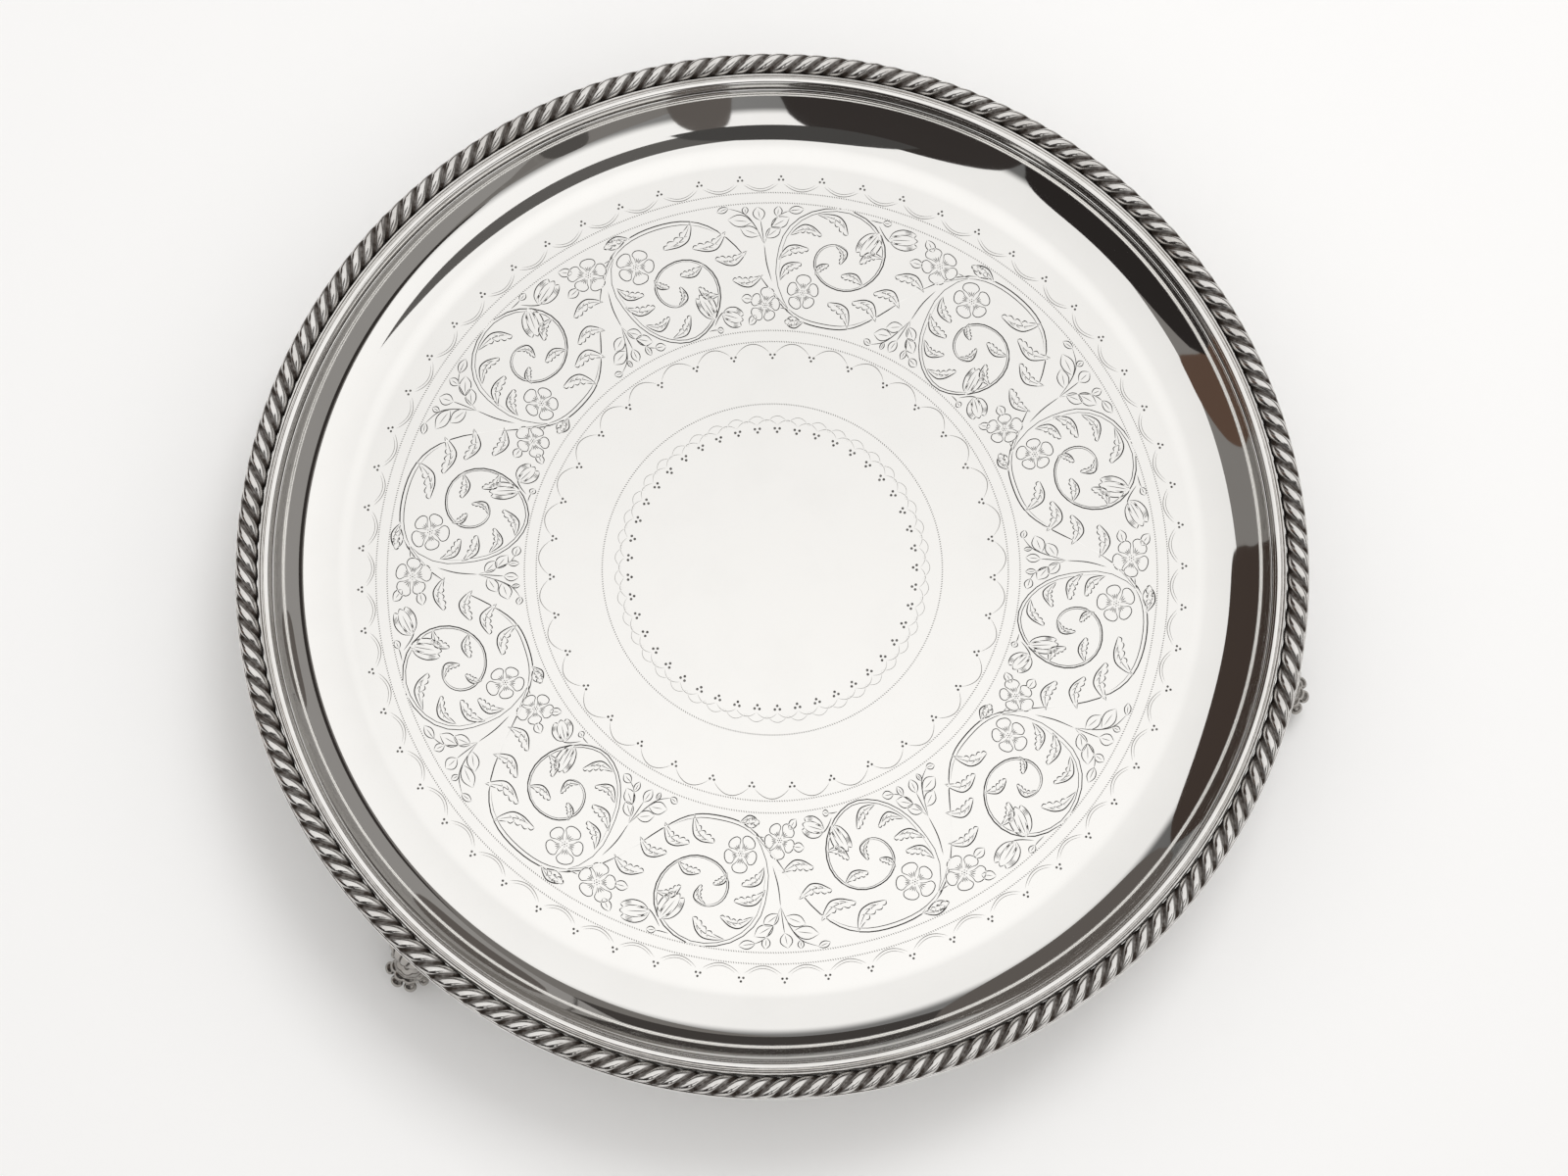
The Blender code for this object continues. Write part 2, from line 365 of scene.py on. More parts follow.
def leaf(band, base, tip, bow, fat):
    """An acanthus leaf: a smooth back, a bent spine, a lobed front edge and three shading cuts."""
    width = 0.21
    lobes, lobe_step = 4, 0.17  # scallops of the front edge, and the share of the leaf that each takes
    lean = 0.85  # how far the scallops' ends lie towards the full swell
    base, tip = np.asarray(base, float), np.asarray(tip, float)
    along = tip - base
    across = np.array([-along[1], along[0]]) * (1 if bow > 0 else -1)

    def swell(share):
        return math.sin(math.pi * (0.12 + 0.8 * (1 - share)))

    back = [bent(base, tip, bow, t) for t in (0, 0.2, 0.45, 0.7, 0.9, 1)]
    band.cut(back, width * 1.25)
    spine = [bent(base, tip, bow * 0.55, t) for t in (0.12, 0.4, 0.65, 0.85)]
    band.cut(spine, width * 0.7)
    # The lobed edge: short scallops from the tip back towards the base
    for i in range(lobes):
        a, b = 1 - i * lobe_step, 1 - (i + 1) * lobe_step
        drop = fat * swell((a + b) / 2)
        start = bent(base, tip, bow, a) - across * drop * (lean if i else 0.0)
        end = bent(base, tip, bow, b) - across * fat * swell(b) * lean
        middle = (start + end) / 2 - across * (0.05 + 0.03 * fat)
        band.cut([start, middle, end], width, steps=3)
    last = bent(base, tip, bow, 1 - lobes * lobe_step) - across * fat * 0.8
    band.cut([last, bent(base, tip, bow * 0.2, 0.16), base], width * 0.8, steps=3)
    for t in (0.35, 0.5, 0.64):
        root = bent(base, tip, bow * 0.8, t)
        middle = root + along * 0.10 - across * fat * 0.25
        end = root + along * 0.16 - across * fat * 0.55
        band.cut([root, middle, end], width * 0.55, steps=2)


def small_leaf(band, base, tip, fat):
    """A pointed bud or leaflet with one vein."""
    width = 0.2
    for side in (fat, -fat):
        band.cut([bent(base, tip, side, t) for t in (0, 0.3, 0.65, 1)], width, steps=3)
    band.cut([bent(base, tip, 0, t) for t in (0.15, 0.45, 0.75)], width * 0.6, steps=2)


PETALS = 5
# (distance from the eye, angle from the petal's middle line) as shares of its reach and half angle
PETAL_OUTLINE = (
    (0.20, -0.45), (0.48, -0.72), (0.78, -0.95), (0.97, -0.55), (1.0, 0.05),
    (0.95, 0.58), (0.76, 0.93), (0.46, 0.70), (0.20, 0.45),
)
PETAL_SHADING = ((0.26, 1.0), (0.42, 1.5), (0.55, 2.2))


def flower(band, s, h, size, turn):
    """Round petals about an eye of dots, each with three shading cuts."""
    for i in range(PETALS):
        a = TAU * i / PETALS + turn
        half = math.pi / PETALS * 0.92
        reach = size * (1.0 + 0.06 * math.sin(3.1 * i + s))

        def at(radius, angle):
            return (s + radius * math.cos(angle), h + radius * math.sin(angle))

        band.cut([at(reach * out, a + half * v) for out, v in PETAL_OUTLINE], 0.19, (0.5, 0.5), 3)
        for lean in (-0.22, 0.0, 0.24):
            shading = [at(reach * out, a + lean * half * fan) for out, fan in PETAL_SHADING]
            band.cut(shading, 0.15, steps=2)
    for i in range(6):
        a = TAU * i / 6
        band.dot(s + size * 0.13 * math.cos(a), h + size * 0.13 * math.sin(a), 0.16)
    band.dot(s, h, 0.22)


def tulip(band, base, mouth, width):
    """A cup of three petals seen from the side, open at its mouth."""
    base, mouth = np.asarray(base, float), np.asarray(mouth, float)
    along = mouth - base
    across = np.array([-along[1], along[0]])
    across *= width / 2 / np.linalg.norm(across)

    def cut(side, line, width, ends=(0.0, 0.0), steps=3):
        """A cut through (share of the height, share of the half width) points, on one side."""
        band.cut([base + along * u + across * (v * side) for u, v in line], width, ends, steps)

    for side in (1, -1):
        cut(side, [(0, 0), (0.22, 0.75), (0.55, 1.05), (0.85, 0.92), (1.04, 0.62)], 0.22, (0.4, 0.2), 4)
        cut(side, [(0.05, 0.05), (0.35, 0.45), (0.7, 0.52), (0.93, 0.3)], 0.17)
        cut(side, [(1.04, 0.62), (0.99, 0.44), (0.93, 0.3)], 0.18, (0.3, 0.3))
        for v in (0.2, 0.34):
            cut(side, [(0.12, v), (0.3, v + 0.12), (0.5, v + 0.16)], 0.13, steps=2)
        for v in (0.66, 0.8, 0.92):
            cut(side, [(0.62, v), (0.76, v * 0.96), (0.9, v * 0.85)], 0.12, steps=2)
    cut(1, [(0.93, 0.3), (1.03, 0.12), (1.06, 0), (1.03, -0.12), (0.93, -0.3)], 0.18, (0.3, 0.3))
    cut(1, [(0.1, 0), (0.4, 0), (0.82, 0)], 0.13)


def main_stem(band):
    """The running stem, half a period long: under this scroll, and over the next one when mirrored."""
    sweep = 19.3  # mm from the band's middle
    shares = np.linspace(-0.5, 0.5, 23)
    line = []
    for t in shares:
        a = math.pi * t
        line.append((HALF_S * t, -sweep * (math.cos(a) - 0.08 * math.cos(3 * a))))
    line = np.array(line)
    band.engraving.cut(band.place(line), 0.26, (0.9, 0.9))
    inner = line + np.array([0, 1.15]) * np.cos(shares * math.pi)[:, None] ** 0.4
    band.engraving.cut(band.place(inner[2:-4]), 0.17)


SPIRAL_CENTRE = np.array((0.5, 3.5))
# Radius of the spiral at each quarter turn from its left side, clockwise
SPIRAL_RADII = (17.0, 16.0, 12.5, 8.7, 6.5, 4.6, 3.0)
SPIRAL_OPENS = 7.6  # mm that the radius has more a quarter turn before the left side


def spiral_point(quarter, inset=0.0):
    """The point after some quarter turns, moved towards the centre by inset."""
    if quarter < 0:
        radius = SPIRAL_RADII[0] - SPIRAL_OPENS * quarter
    else:
        low = min(int(quarter), len(SPIRAL_RADII) - 2)
        ease = quarter - low
        radius = SPIRAL_RADII[low] * (1 - ease) + SPIRAL_RADII[low + 1] * ease
    a = math.pi - quarter * math.pi / 2
    return SPIRAL_CENTRE + (radius - inset) * np.array((math.cos(a), math.sin(a)))


def spiral(band):
    """The coiled branch, doubled by a finer line on its inner side."""
    quarters = np.linspace(-0.62, 5.4, 44)
    band.engraving.cut(band.place(smooth_line([spiral_point(q) for q in quarters], 1)), 0.27, (0.5, 0.1))
    inner = np.linspace(-0.3, 3.0, 26)
    band.engraving.cut(band.place([spiral_point(q, 1.05 - 0.2 * max(q, 0)) for q in inner]), 0.16)
    inner = np.linspace(2.6, 4.9, 18)
    band.engraving.cut(band.place([spiral_point(q, 0.55) for q in inner]), 0.13)


def sprig(band):
    """Three branches with small leaves that rise between the main stem and the spiral."""
    fork = (-20.4, 6.6)
    band.cut([(-18.3, -5.0), (-19.8, 0.6), fork], 0.22, (0.1, 0.6))
    band.cut([fork, (-20.9, 11.5), (-21.2, 14.2)], 0.18)
    small_leaf(band, (-21.2, 14.0), (-21.9, 18.4), 0.34)
    left = [fork, (-22.6, 12.3), (-25.2, 16.3), (-29.4, 18.6)]
    right = [fork, (-18.2, 12.6), (-15.9, 16.0), (-12.6, 17.6)]
    band.cut(left, 0.2)
    band.cut(right, 0.2)
    for base, tip in (
        ((-21.5, 9.4), (-26.6, 12.0)),
        ((-23.4, 13.6), (-29.6, 15.0)),
        ((-25.0, 16.2), (-24.9, 18.7)),
        ((-20.0, 8.6), (-15.9, 12.0)),
        ((-18.6, 11.8), (-13.8, 15.1)),
        ((-16.8, 15.2), (-16.6, 18.6)),
        ((-14.2, 17.0), (-10.2, 18.0)),
        ((-29.0, 18.6), (-32.0, 17.6)),
    ):
        small_leaf(band, base, tip, 0.3)


def scroll(band):
    """One scroll with its share of the main stem."""
    main_stem(band)
    spiral(band)
    # Leaves inside, from the spiral's left side and top
    leaf(band, (-15.8, -4.6), (-9.7, 1.2), 0.32, 0.3)
    leaf(band, (-16.4, 1.8), (-8.0, 5.8), 0.30, 0.28)
    leaf(band, (-13.4, 9.6), (-4.9, 10.4), 0.38, 0.28)
    leaf(band, (-6.8, 16.6), (1.8, 11.8), 0.30, 0.26)
    # Leaves on the descending and inner part of the spiral
    leaf(band, (12.8, 7.6), (6.6, 4.2), -0.38, 0.34)
    leaf(band, (9.6, -2.6), (2.4, -0.7), -0.30, 0.32)
    leaf(band, (-5.2, -2.2), (-1.9, 1.9), 0.30, 0.34)
    leaf(band, (-1.0, 8.1), (1.6, 2.4), 0.42, 0.30)
    # Leaves of the main stem, pointing back
    leaf(band, (9.0, -16.4), (0.3, -9.8), -0.32, 0.28)
    leaf(band, (17.4, -11.6), (7.8, -7.9), -0.36, 0.30)
    leaf(band, (22.6, -4.9), (13.3, -3.3), -0.36, 0.30)
    leaf(band, (26.9, 2.8), (17.4, 3.9), -0.32, 0.30)
    leaf(band, (41.0, 16.6), (34.0, 17.3), -0.30, 0.34)
    # Flowers: one inside, one outside with its buds
    flower(band, -8.4, -8.0, 5.3, turn=0.35)
    band.cut([(-12.6, -13.8), (-13.8, -13.2), (-15.6, -13.0)], 0.2)
    flower(band, -20.6, -12.2, 5.2, turn=0.1)
    small_leaf(band, (-24.6, -10.2), (-28.4, -9.6), 0.36)
    small_leaf(band, (-23.8, -15.2), (-26.6, -18.0), 0.32)
    small_leaf(band, (-8.4, -16.4), (-13.9, -17.5), 0.26)
    # Tulips
    tulip(band, (9.6, 14.8), (6.6, 6.9), 5.4)
    band.cut([(8.8, 17.0), (10.8, 14.6), (12.4, 13.3), (13.6, 13.2)], 0.22)
    tulip(band, (12.2, 13.6), (18.8, 16.2), 6.0)
    band.cut([(6.4, 18.0), (8.4, 18.0), (9.6, 18.2)], 0.18)
    small_leaf(band, (9.5, 18.1), (11.8, 18.7), 0.4)
    sprig(band)


FAINT = 0.45  # tarnish and painted shade in the shallow milled lines and swags


def milled_line(engraving, radius, ticks):
    """A fine line of close, slanting ticks, as a roulette wheel leaves it."""
    length = 0.55
    lean = 0.35 * length / radius
    for i in range(ticks):
        a = TAU * i / ticks
        tick = [(radius + k * length / 2, a + k * lean) for k in (-1, 0, 1)]
        engraving.cut([(r * math.cos(t), r * math.sin(t)) for r, t in tick], 0.22, tone=FAINT)


def trefoil(engraving, angle, radius, outward, spread=0.62, size=0.36):
    """Three punched dots: one ahead of a pair."""
    side = 1 if outward else -1
    depth = 0.16
    for along, across in ((side * 0.62, 0), (-side * 0.42, spread), (-side * 0.42, -spread)):
        r, a = radius + along, angle + across / radius
        engraving.dot(r * math.cos(a), r * math.sin(a), size, depth)


def swag(engraving, start, end, rim, dip, width=0.17):
    """A hanging arc between two angles, from the radius rim to the radius dip in its middle."""
    line = []
    for t in np.linspace(0, 1, 13):
        r = rim + (dip - rim) * (1 - (2 * t - 1) ** 2)
        a = start + (end - start) * t
        line.append((r * math.cos(a), r * math.sin(a)))
    engraving.cut(line, width, tone=FAINT)


def festoons(engraving, count, radius, dip, dots_at, first, outer):
    """Swags hung round a ring from trefoils, the first of them at first degrees.

    Those of the outer ring are doubled, and their trefoils point outwards.
    """
    step = 0.75  # from a swag to its double
    for i in range(count):
        a, b = (math.radians(first) + TAU * k / count for k in (i, i + 1))
        inset = 0.06 * (b - a)
        swag(engraving, a + inset, b - inset, radius, dip)
        if outer:
            swag(engraving, a + 2.4 * inset, b - 2.4 * inset, radius + 0.1 * step, dip + step, 0.12)
        trefoil(engraving, a, dots_at, outer)


SCROLLS = 12
LACE = 45  # trefoils round the plain middle


def engraved_well():
    """The well with its scroll band, the lines and swags on both sides of it and the inner lace."""
    engraving = Engraving()
    for k in range(SCROLLS):
        scroll(Band(engraving, FIRST_SCROLL - HALF_PERIOD * k, k % 2 == 1))
    for radius in (110.9, 114.1, 71.4, 68.0):
        milled_line(engraving, radius, int(radius * 9))
    milled_line(engraving, 49.0, 440)
    festoons(engraving, 61, radius=117.0, dip=114.6, dots_at=118.6, first=-23.4, outer=True)
    festoons(engraving, 35, radius=64.4, dip=67.4, dots_at=63.6, first=-33.5, outer=False)
    for i in range(LACE):
        a = TAU * i / LACE
        trefoil(engraving, a, 41.2, False, 0.7, 0.4)
        b = a + TAU / LACE
        swag(engraving, a, b, 42.6, 44.2, 0.11)
        swag(engraving, a - TAU / (2 * LACE), b - TAU / (2 * LACE), 43.4, 45.4, 0.10)
    return engraving.mesh(WELL_R, ROUND, WELL_Z)


# --------------------------------------------------------------- the pieces


def sheet_line():
    """(radius, z) of the tray's upper side outside the flat of the well."""
    line = []
    for t in np.linspace(0, 1, 40)[1:]:
        a = math.radians(WALL_END_DEG) * t
        line.append((WELL_R + WALL_ACROSS * math.sin(a), WELL_Z + WALL_UP * (1 - math.cos(a))))
    flange = (142.05, 143.2, 150.6)
    return line + [(r * MM, flange_top(r * MM)) for r in flange]


def tray(material):
    """The raised sheet: engraved well, wall, flange, rolled outer edge, and the plain underside."""
    points, faces, rim, tarnish_and_shade = engraved_well()
    flat_faces = len(faces)
    top = sheet_line()
    end = top[-1]
    edge = [
        (end[0] + 0.5 * SHEET * math.sin(a), end[1] - 0.5 * SHEET * (1 - math.cos(a)))
        for a in np.linspace(0, math.pi, 9)[1:-1]
    ]
    under = []
    for i in range(len(top) - 1, -1, -1):
        before = top[i - 1] if i else (WELL_R, WELL_Z)
        after = top[min(i + 1, len(top) - 1)]
        along = Vector((after[0] - before[0], after[1] - before[1])).normalized()
        under.append((top[i][0] + along.y * SHEET, top[i][1] - along.x * SHEET))
    under += [(WELL_R * share, WELL_Z - SHEET) for share in (1, 0.995, 0.6, 0.2)]
    rings = top + edge + under
    previous = rim
    for radius, z in rings:
        start = len(points)
        points += [polar(radius, TAU * i / ROUND, z) for i in range(ROUND)]
        ring = range(start, start + ROUND)
        for i in range(ROUND):
            j = (i + 1) % ROUND
            faces.append((previous[i], ring[i], ring[j], previous[j]))
        previous = ring
    centre = len(points)
    points.append((0, 0, WELL_Z - SHEET))
    for i in range(ROUND):
        faces.append((previous[i], centre, previous[(i + 1) % ROUND]))
    tarnish_and_shade += [0.0] * (len(faces) - flat_faces)
    obj = piece("tray", points, faces, material, ("tray_body",), tarnish_and_shade, "FACE")
    curved = np.ones(len(obj.data.polygons), bool)
    curved[:flat_faces] = False
    obj.data.polygons.foreach_set("use_smooth", curved)


def turned_ring(name, outline, material, stands_for, recess_of=None):
    """A closed (radius, z) outline turned round the tray's axis."""
    rows = []
    for i in range(ROUND):
        rows += [polar(r, TAU * i / ROUND, z) for r, z in outline]
    recess = None if recess_of is None else [recess_of(p) for p in outline] * ROUND
    faces = grid_faces(ROUND, len(outline), True, True)
    piece(name, rows, faces, material, stands_for, recess)


def moulding(material):
    """Steep side, reed, groove and fillet, in mm over the flange, from the head of the wall outwards."""
    side = [(142.4, 0.02), (142.1, 0.04), (142.04, 0.4), (142.1, 1.1), (142.3, 1.75)]
    reed = [
        (142.36, 1.9), (142.6, 2.45), (142.95, 2.78), (143.4, 2.92),
        (143.9, 2.9), (144.3, 2.7), (144.66, 2.05),
    ]
    groove = [
        (144.74, 1.7), (144.95, 1.6), (145.2, 1.68), (145.35, 1.86),
        (145.5, 2.0), (145.7, 2.02), (145.88, 1.85),
    ]
    fillet = [(145.96, 1.4), (146.04, 0.9), (146.04, 0.02)]
    runs = (side, reed, groove, fillet)
    line = np.vstack([smooth_line(run, 4) for run in runs])
    outline = [(r * MM, flange_top(r * MM) + h * MM) for r, h in line]
    # Tarnish and painted shade along the three creases: at the foot of the side, between reed and groove, and
    # at the fillet
    dark_lines = (142.08, 144.72, 146.08)
    line_width = 0.2

    def recess(point):
        return max(0.0, 1.0 - min(abs(point[0] / MM - r) for r in dark_lines) / line_width)

    turned_ring("moulding", outline, material, ("rim_moulding",), recess)


def wire(material):
    """The plain round wire under the outer edge of the rope."""
    sides = 16
    centre_r = RIM_R - WIRE_R
    centre_z = flange_top(centre_r) - 0.66 * MM
    turns = [TAU * i / sides for i in range(sides)]
    outline = [(centre_r + WIRE_R * math.cos(a), centre_z + WIRE_R * math.sin(a)) for a in turns]
    turned_ring("outer_wire", outline, material, ("edge_wire",))


ROPE_STEPS = 26  # samples along each lobe
ROPE_ACROSS = 30
ROPE_LEAN = 1.45  # lobes that a strand travels between the inner and the outer edge
ROPE_RELIEF = 1.35 * MM  # depth of the hollows between the strands
ROPE_FULLNESS = 0.85  # power that makes the rod's section fuller than a half circle
PLUMP = 0.74  # share of a lobe that its plump strand takes
FINE = 0.13  # share that each fine strand takes
STRAND_START = 0.2  # of a lobe


def strand(phase):
    """Height, 0 to 1, of the rope's surface: one plump strand, then two fine ones in the hollow."""
    phase %= 1.0
    if phase < PLUMP:
        u = 2 * phase / PLUMP - 1
        return 0.18 + 0.82 * math.sqrt(max(0.0, 1 - u * u))
    fine = (phase - PLUMP) / FINE % 1.0
    sag = math.sin(math.pi * (phase - PLUMP) / (2 * FINE))
    return 0.20 - 0.14 * sag + 0.17 * math.sqrt(max(0.0, math.sin(math.pi * fine)))


def rope(index, material):
    """One cast length of the border: strands wound round a half-round rod."""
    pitch = TAU / LOBES
    lobes = LOBES // ROPE_LENGTHS
    seam = SOLDER / ROPE_OUT
    start = math.radians(SEAM_DEG) + index * lobes * pitch + pitch * ROPE_LEAN / 2
    columns = lobes * ROPE_STEPS + 1
    middle, half = (ROPE_IN + ROPE_OUT) / 2, (ROPE_OUT - ROPE_IN) / 2
    points, recess = [], []
    for i in range(columns):
        along = i / ROPE_STEPS
        base_angle = start + along * pitch
        base_angle += seam if i == 0 else -seam if i == columns - 1 else 0
        for j in range(ROPE_ACROSS + 1):
            share = j / ROPE_ACROSS
            turn = math.pi * (1 - share)
            # A touch of unevenness from the casting and filing
            wear = 1 + 0.05 * math.sin(1.7 * (along + index * lobes)) * math.sin(0.61 * along + index)
            height = strand(along + STRAND_START)
            depth = (1 - height) * ROPE_RELIEF * wear * (0.3 + 0.7 * math.sin(turn))
            radius = middle + (half - depth * 0.75) * math.cos(turn)
            z = flange_top(radius) + SOLDER + (ROPE_H - depth) * math.sin(turn) ** ROPE_FULLNESS
            points.append(polar(radius, base_angle - pitch * ROPE_LEAN * share, z))
            # Tarnish and painted shade in the hollows and along both edges of the rod, and tarnish at the
            # soldered ends
            dark = 1.15 - 1.3 * height + 0.45 * abs(math.cos(turn)) ** 3
            if i < 2 or i > columns - 3:
                dark += 0.5
            recess.append(min(1, max(0, dark)))
    faces = grid_faces(columns, ROPE_ACROSS + 1, False, False, flip=True)
    # Underside and ends
    row = ROPE_ACROSS + 1
    for i in range(columns - 1):
        faces.append((i * row, i * row + row - 1, (i + 1) * row + row - 1, (i + 1) * row))
    faces.append(tuple(range(row)))
    faces.append(tuple(range(len(points) - 1, len(points) - row - 1, -1)))
    name, stands_for = f"rope_{index + 1}", (f"rope_border_{index + 1}",)
    obj = piece(name, points, faces, material, stands_for, recess)
    for face in obj.data.polygons[-2:]:
        face.use_smooth = False


# --------------------------------------------------------------------- feet


def limb(centres, sizes, count=20):
    """A closed limb through centres in the XZ plane, with (half side, half depth) at each."""
    centres = smooth_line([tuple(c) for c in centres], 4)
    sizes = smooth_line(sizes, 4)
    points = []
    tangents = np.gradient(centres, axis=0)
    for centre, size, tangent in zip(centres, sizes, tangents):
        along = Vector(tangent).normalized()
        side = Vector((0, 1, 0))
        depth = side.cross(along).normalized()
        for i in range(count):
            a = TAU * i / count
            points.append(Vector(centre) + side * size[0] * math.cos(a) + depth * size[1] * math.sin(a))
    faces = grid_faces(len(centres), count, False, True)
    faces.append(tuple(range(count))[::-1])
    faces.append(tuple(range(len(points) - count, len(points))))
    return points, faces


PLATE = 1.0 * MM  # thickness of a mounting plate


def leg_shape():
    """The leg from its broad knee, square under the sloping flange, down to the ankle over the ball."""
    top_r = 146.6 * MM
    up = Vector((-FLANGE_SLOPE, 0, 1)).normalized()
    top = Vector((top_r, 0, flange_top(top_r) - (SHEET + 1.2 * MM) * math.hypot(1, FLANGE_SLOPE)))
    # (radius, z) down the leg below its top, then (half side, half depth) from the top, in mm
    below = (
        (147.8, 31.6), (150.2, 28.6), (151.3, 24.8), (151.3, 20.5),
        (151.5, 17.0), (152.0, 13.6), (152.3, 10.4),
    )
    sizes = (
        (12.0, 3.0), (12.3, 3.4), (10.6, 4.0), (7.4, 3.9), (4.2, 3.1),
        (2.7, 2.5), (2.8, 2.7), (4.2, 4.2), (4.4, 4.4),
    )
    centres = [top, top - up * 1.6 * MM, *(Vector((r * MM, 0, z * MM)) for r, z in below)]
    return limb(centres, [(a * MM, b * MM) for a, b in sizes])


# (degrees round the ball from the outer side, thickness), and the knuckles and claw of each toe as
# (degrees down from the top of the ball, thickness)
TOES = ((0, 1.0), (40, 0.97), (-40, 0.97), (82, 0.75), (-82, 0.75), (180, 0.9))
KNUCKLES = (
    (4, 1.0), (22, 1.1), (38, 1.38), (52, 0.92), (68, 1.3), (84, 0.98), (97, 0.82), (108, 0.6), (121, 0.22),
)
TOE_R = 1.25 * MM


def toe_shape(share):
    """A toe with two knuckles and a claw, over the ball, on its +X side."""
    centres, sizes = [], []
    for degrees, thick in KNUCKLES:
        t = math.radians(degrees)
        half = TOE_R * share * thick
        reach = BALL_R + half * 0.85
        centres.append(Vector((reach * math.sin(t), 0, reach * math.cos(t))))
        sizes.append((half * 1.22, half))
    return limb(centres, sizes, 14)


def claw_mesh():
    """Leg and toes melted into one casting by a fine voxel remesh, on the +X side."""
    shape = bmesh.new()

    def take(points, faces, matrix):
        verts = [shape.verts.new(matrix @ Vector(p)) for p in points]
        for face in faces:
            shape.faces.new([verts[i] for i in face])

    take(*leg_shape(), Matrix.Identity(4))
    ball_centre = Matrix.Translation((BALL_AT, 0, BALL_R - BALL_FLAT))
    for degrees, share in TOES:
        take(*toe_shape(share), ball_centre @ Matrix.Rotation(math.radians(degrees), 4, "Z"))
    bmesh.ops.recalc_face_normals(shape, faces=shape.faces[:])
    rough = bpy.data.meshes.new("claw_rough")
    shape.to_mesh(rough)
    shape.free()
    holder = bpy.data.objects.new("claw_rough", rough)
    bpy.context.scene.collection.objects.link(holder)
    remesh = holder.modifiers.new("melt", "REMESH")
    remesh.mode, remesh.voxel_size = "VOXEL", 0.22 * MM
    smooth = holder.modifiers.new("file", "SMOOTH")
    smooth.factor, smooth.iterations = 0.5, 4
    graph = bpy.context.evaluated_depsgraph_get()
    mesh = bpy.data.meshes.new_from_object(holder.evaluated_get(graph))
    bpy.data.objects.remove(holder, do_unlink=True)
    return mesh


KNEE_Z, ANKLE_Z, TOES_Z = 23, 12.5, 11  # mm: flutes above the knee, feathering above the ankle
RIBS = 34  # flutes that a full turn of their fan would have


def chase_claw(mesh):
    """(points, recess) of the claw with chased feathering on the leg and shell flutes on the knee; recess is
    tarnish and painted shade in the cuts and where the toes meet the ball.
    """
    points, recess = [], []
    centre = Vector((BALL_AT, 0, BALL_R - BALL_FLAT))
    for vertex in mesh.vertices:
        co, normal = vertex.co, vertex.normal
        z = co.z / MM
        deep = 0.0
        if z > KNEE_Z:
            # Flutes fan out over the knee from the ankle, like the ribs of a shell
            spread = math.atan2(co.y / MM, z - 16)
            groove = max(0.0, math.cos(spread * RIBS)) ** 4
            deep = groove * min(1, (z - KNEE_Z) / 3) * min(1, max(0, (36.2 - z) / 1.2))
            co = co - normal * deep * 0.42 * MM
        elif z > ANKLE_Z:
            around = math.atan2(co.y, co.x - BALL_AT)
            scale = max(0.0, math.sin(z * 2.6 + 2.2 * abs(math.sin(around * 3)))) ** 5
            deep = scale * min(1, (z - ANKLE_Z) / 2) * min(1, (KNEE_Z - z) / 2) * 0.8
            co = co - normal * deep * 0.16 * MM
        away = (co - centre).length - BALL_R
        # Painted shade and tarnish in the crease where the toes meet the ball
        hollow = max(0.0, 1 - abs(away) / (0.9 * MM)) * 0.9 if z < TOES_Z else 0
        points.append(tuple(co))
        recess.append(min(1, 0.12 + deep + hollow))
    return points, recess


def turned_about_z(points, angle):
    c, s = math.cos(angle), math.sin(angle)
    return [(x * c - y * s, x * s + y * c, z) for x, y, z in points]


def ball_shape():
    """(points, faces, recess) of a ball with its worn flat, on the +X side; its recess is painted shade that
    darkens towards the top.
    """
    rows, around = 28, 40
    centre_z = BALL_R - BALL_FLAT
    low = -math.asin(centre_z / BALL_R)
    points, recess = [(BALL_AT, 0, 0)], [0.0]
    for i in range(rows):
        a = low + (math.pi / 2 - low) * i / rows
        ring_r, z = BALL_R * math.cos(a), centre_z + BALL_R * math.sin(a)
        for j in range(around):
            t = TAU * j / around
            points.append((BALL_AT + ring_r * math.cos(t), ring_r * math.sin(t), z))
            # Painted shade: darker towards the top of the ball, under the toes and leg
            recess.append(max(0.0, math.sin(a)) * 0.9)
    points.append((BALL_AT, 0, centre_z + BALL_R))
    recess.append(0.9)
    faces = [(0, 1 + (j + 1) % around, 1 + j) for j in range(around)]
    for i in range(rows - 1):
        for j in range(around):
            k = (j + 1) % around
            a, b = 1 + i * around, 1 + (i + 1) * around
            faces.append((a + j, a + k, b + k, b + j))
    last = 1 + (rows - 1) * around
    faces += [(last + j, last + (j + 1) % around, len(points) - 1) for j in range(around)]
    return points, faces, recess


def plate_shape():
    """The mounting plate under the flange, a shield with a scalloped outline and a soft edge."""
    steps = 40
    # (share of the outline, share of the thickness) down the edge
    rows = ((0.86, 0.0), (0.97, 0.12), (1.0, 0.42), (0.97, 0.8), (0.88, 1.0))
    points = []
    for share, drop in rows:
        for i in range(steps):
            t = TAU * i / steps
            scallop = 1 + 0.05 * math.cos(6 * t)
            r = 146.9 * MM + 3.3 * MM * share * scallop * math.cos(t)
            y = 12.4 * MM * share * scallop * math.sin(t)
            radius = math.hypot(r, y)
            top = flange_top(radius) - SHEET * math.hypot(1, FLANGE_SLOPE) - SOLDER
            points.append((r, y, top - drop * PLATE))
    faces = grid_faces(len(rows), steps, False, True)
    faces.append(tuple(range(steps)))
    faces.append(tuple(range(len(points) - steps, len(points)))[::-1])
    return points, faces


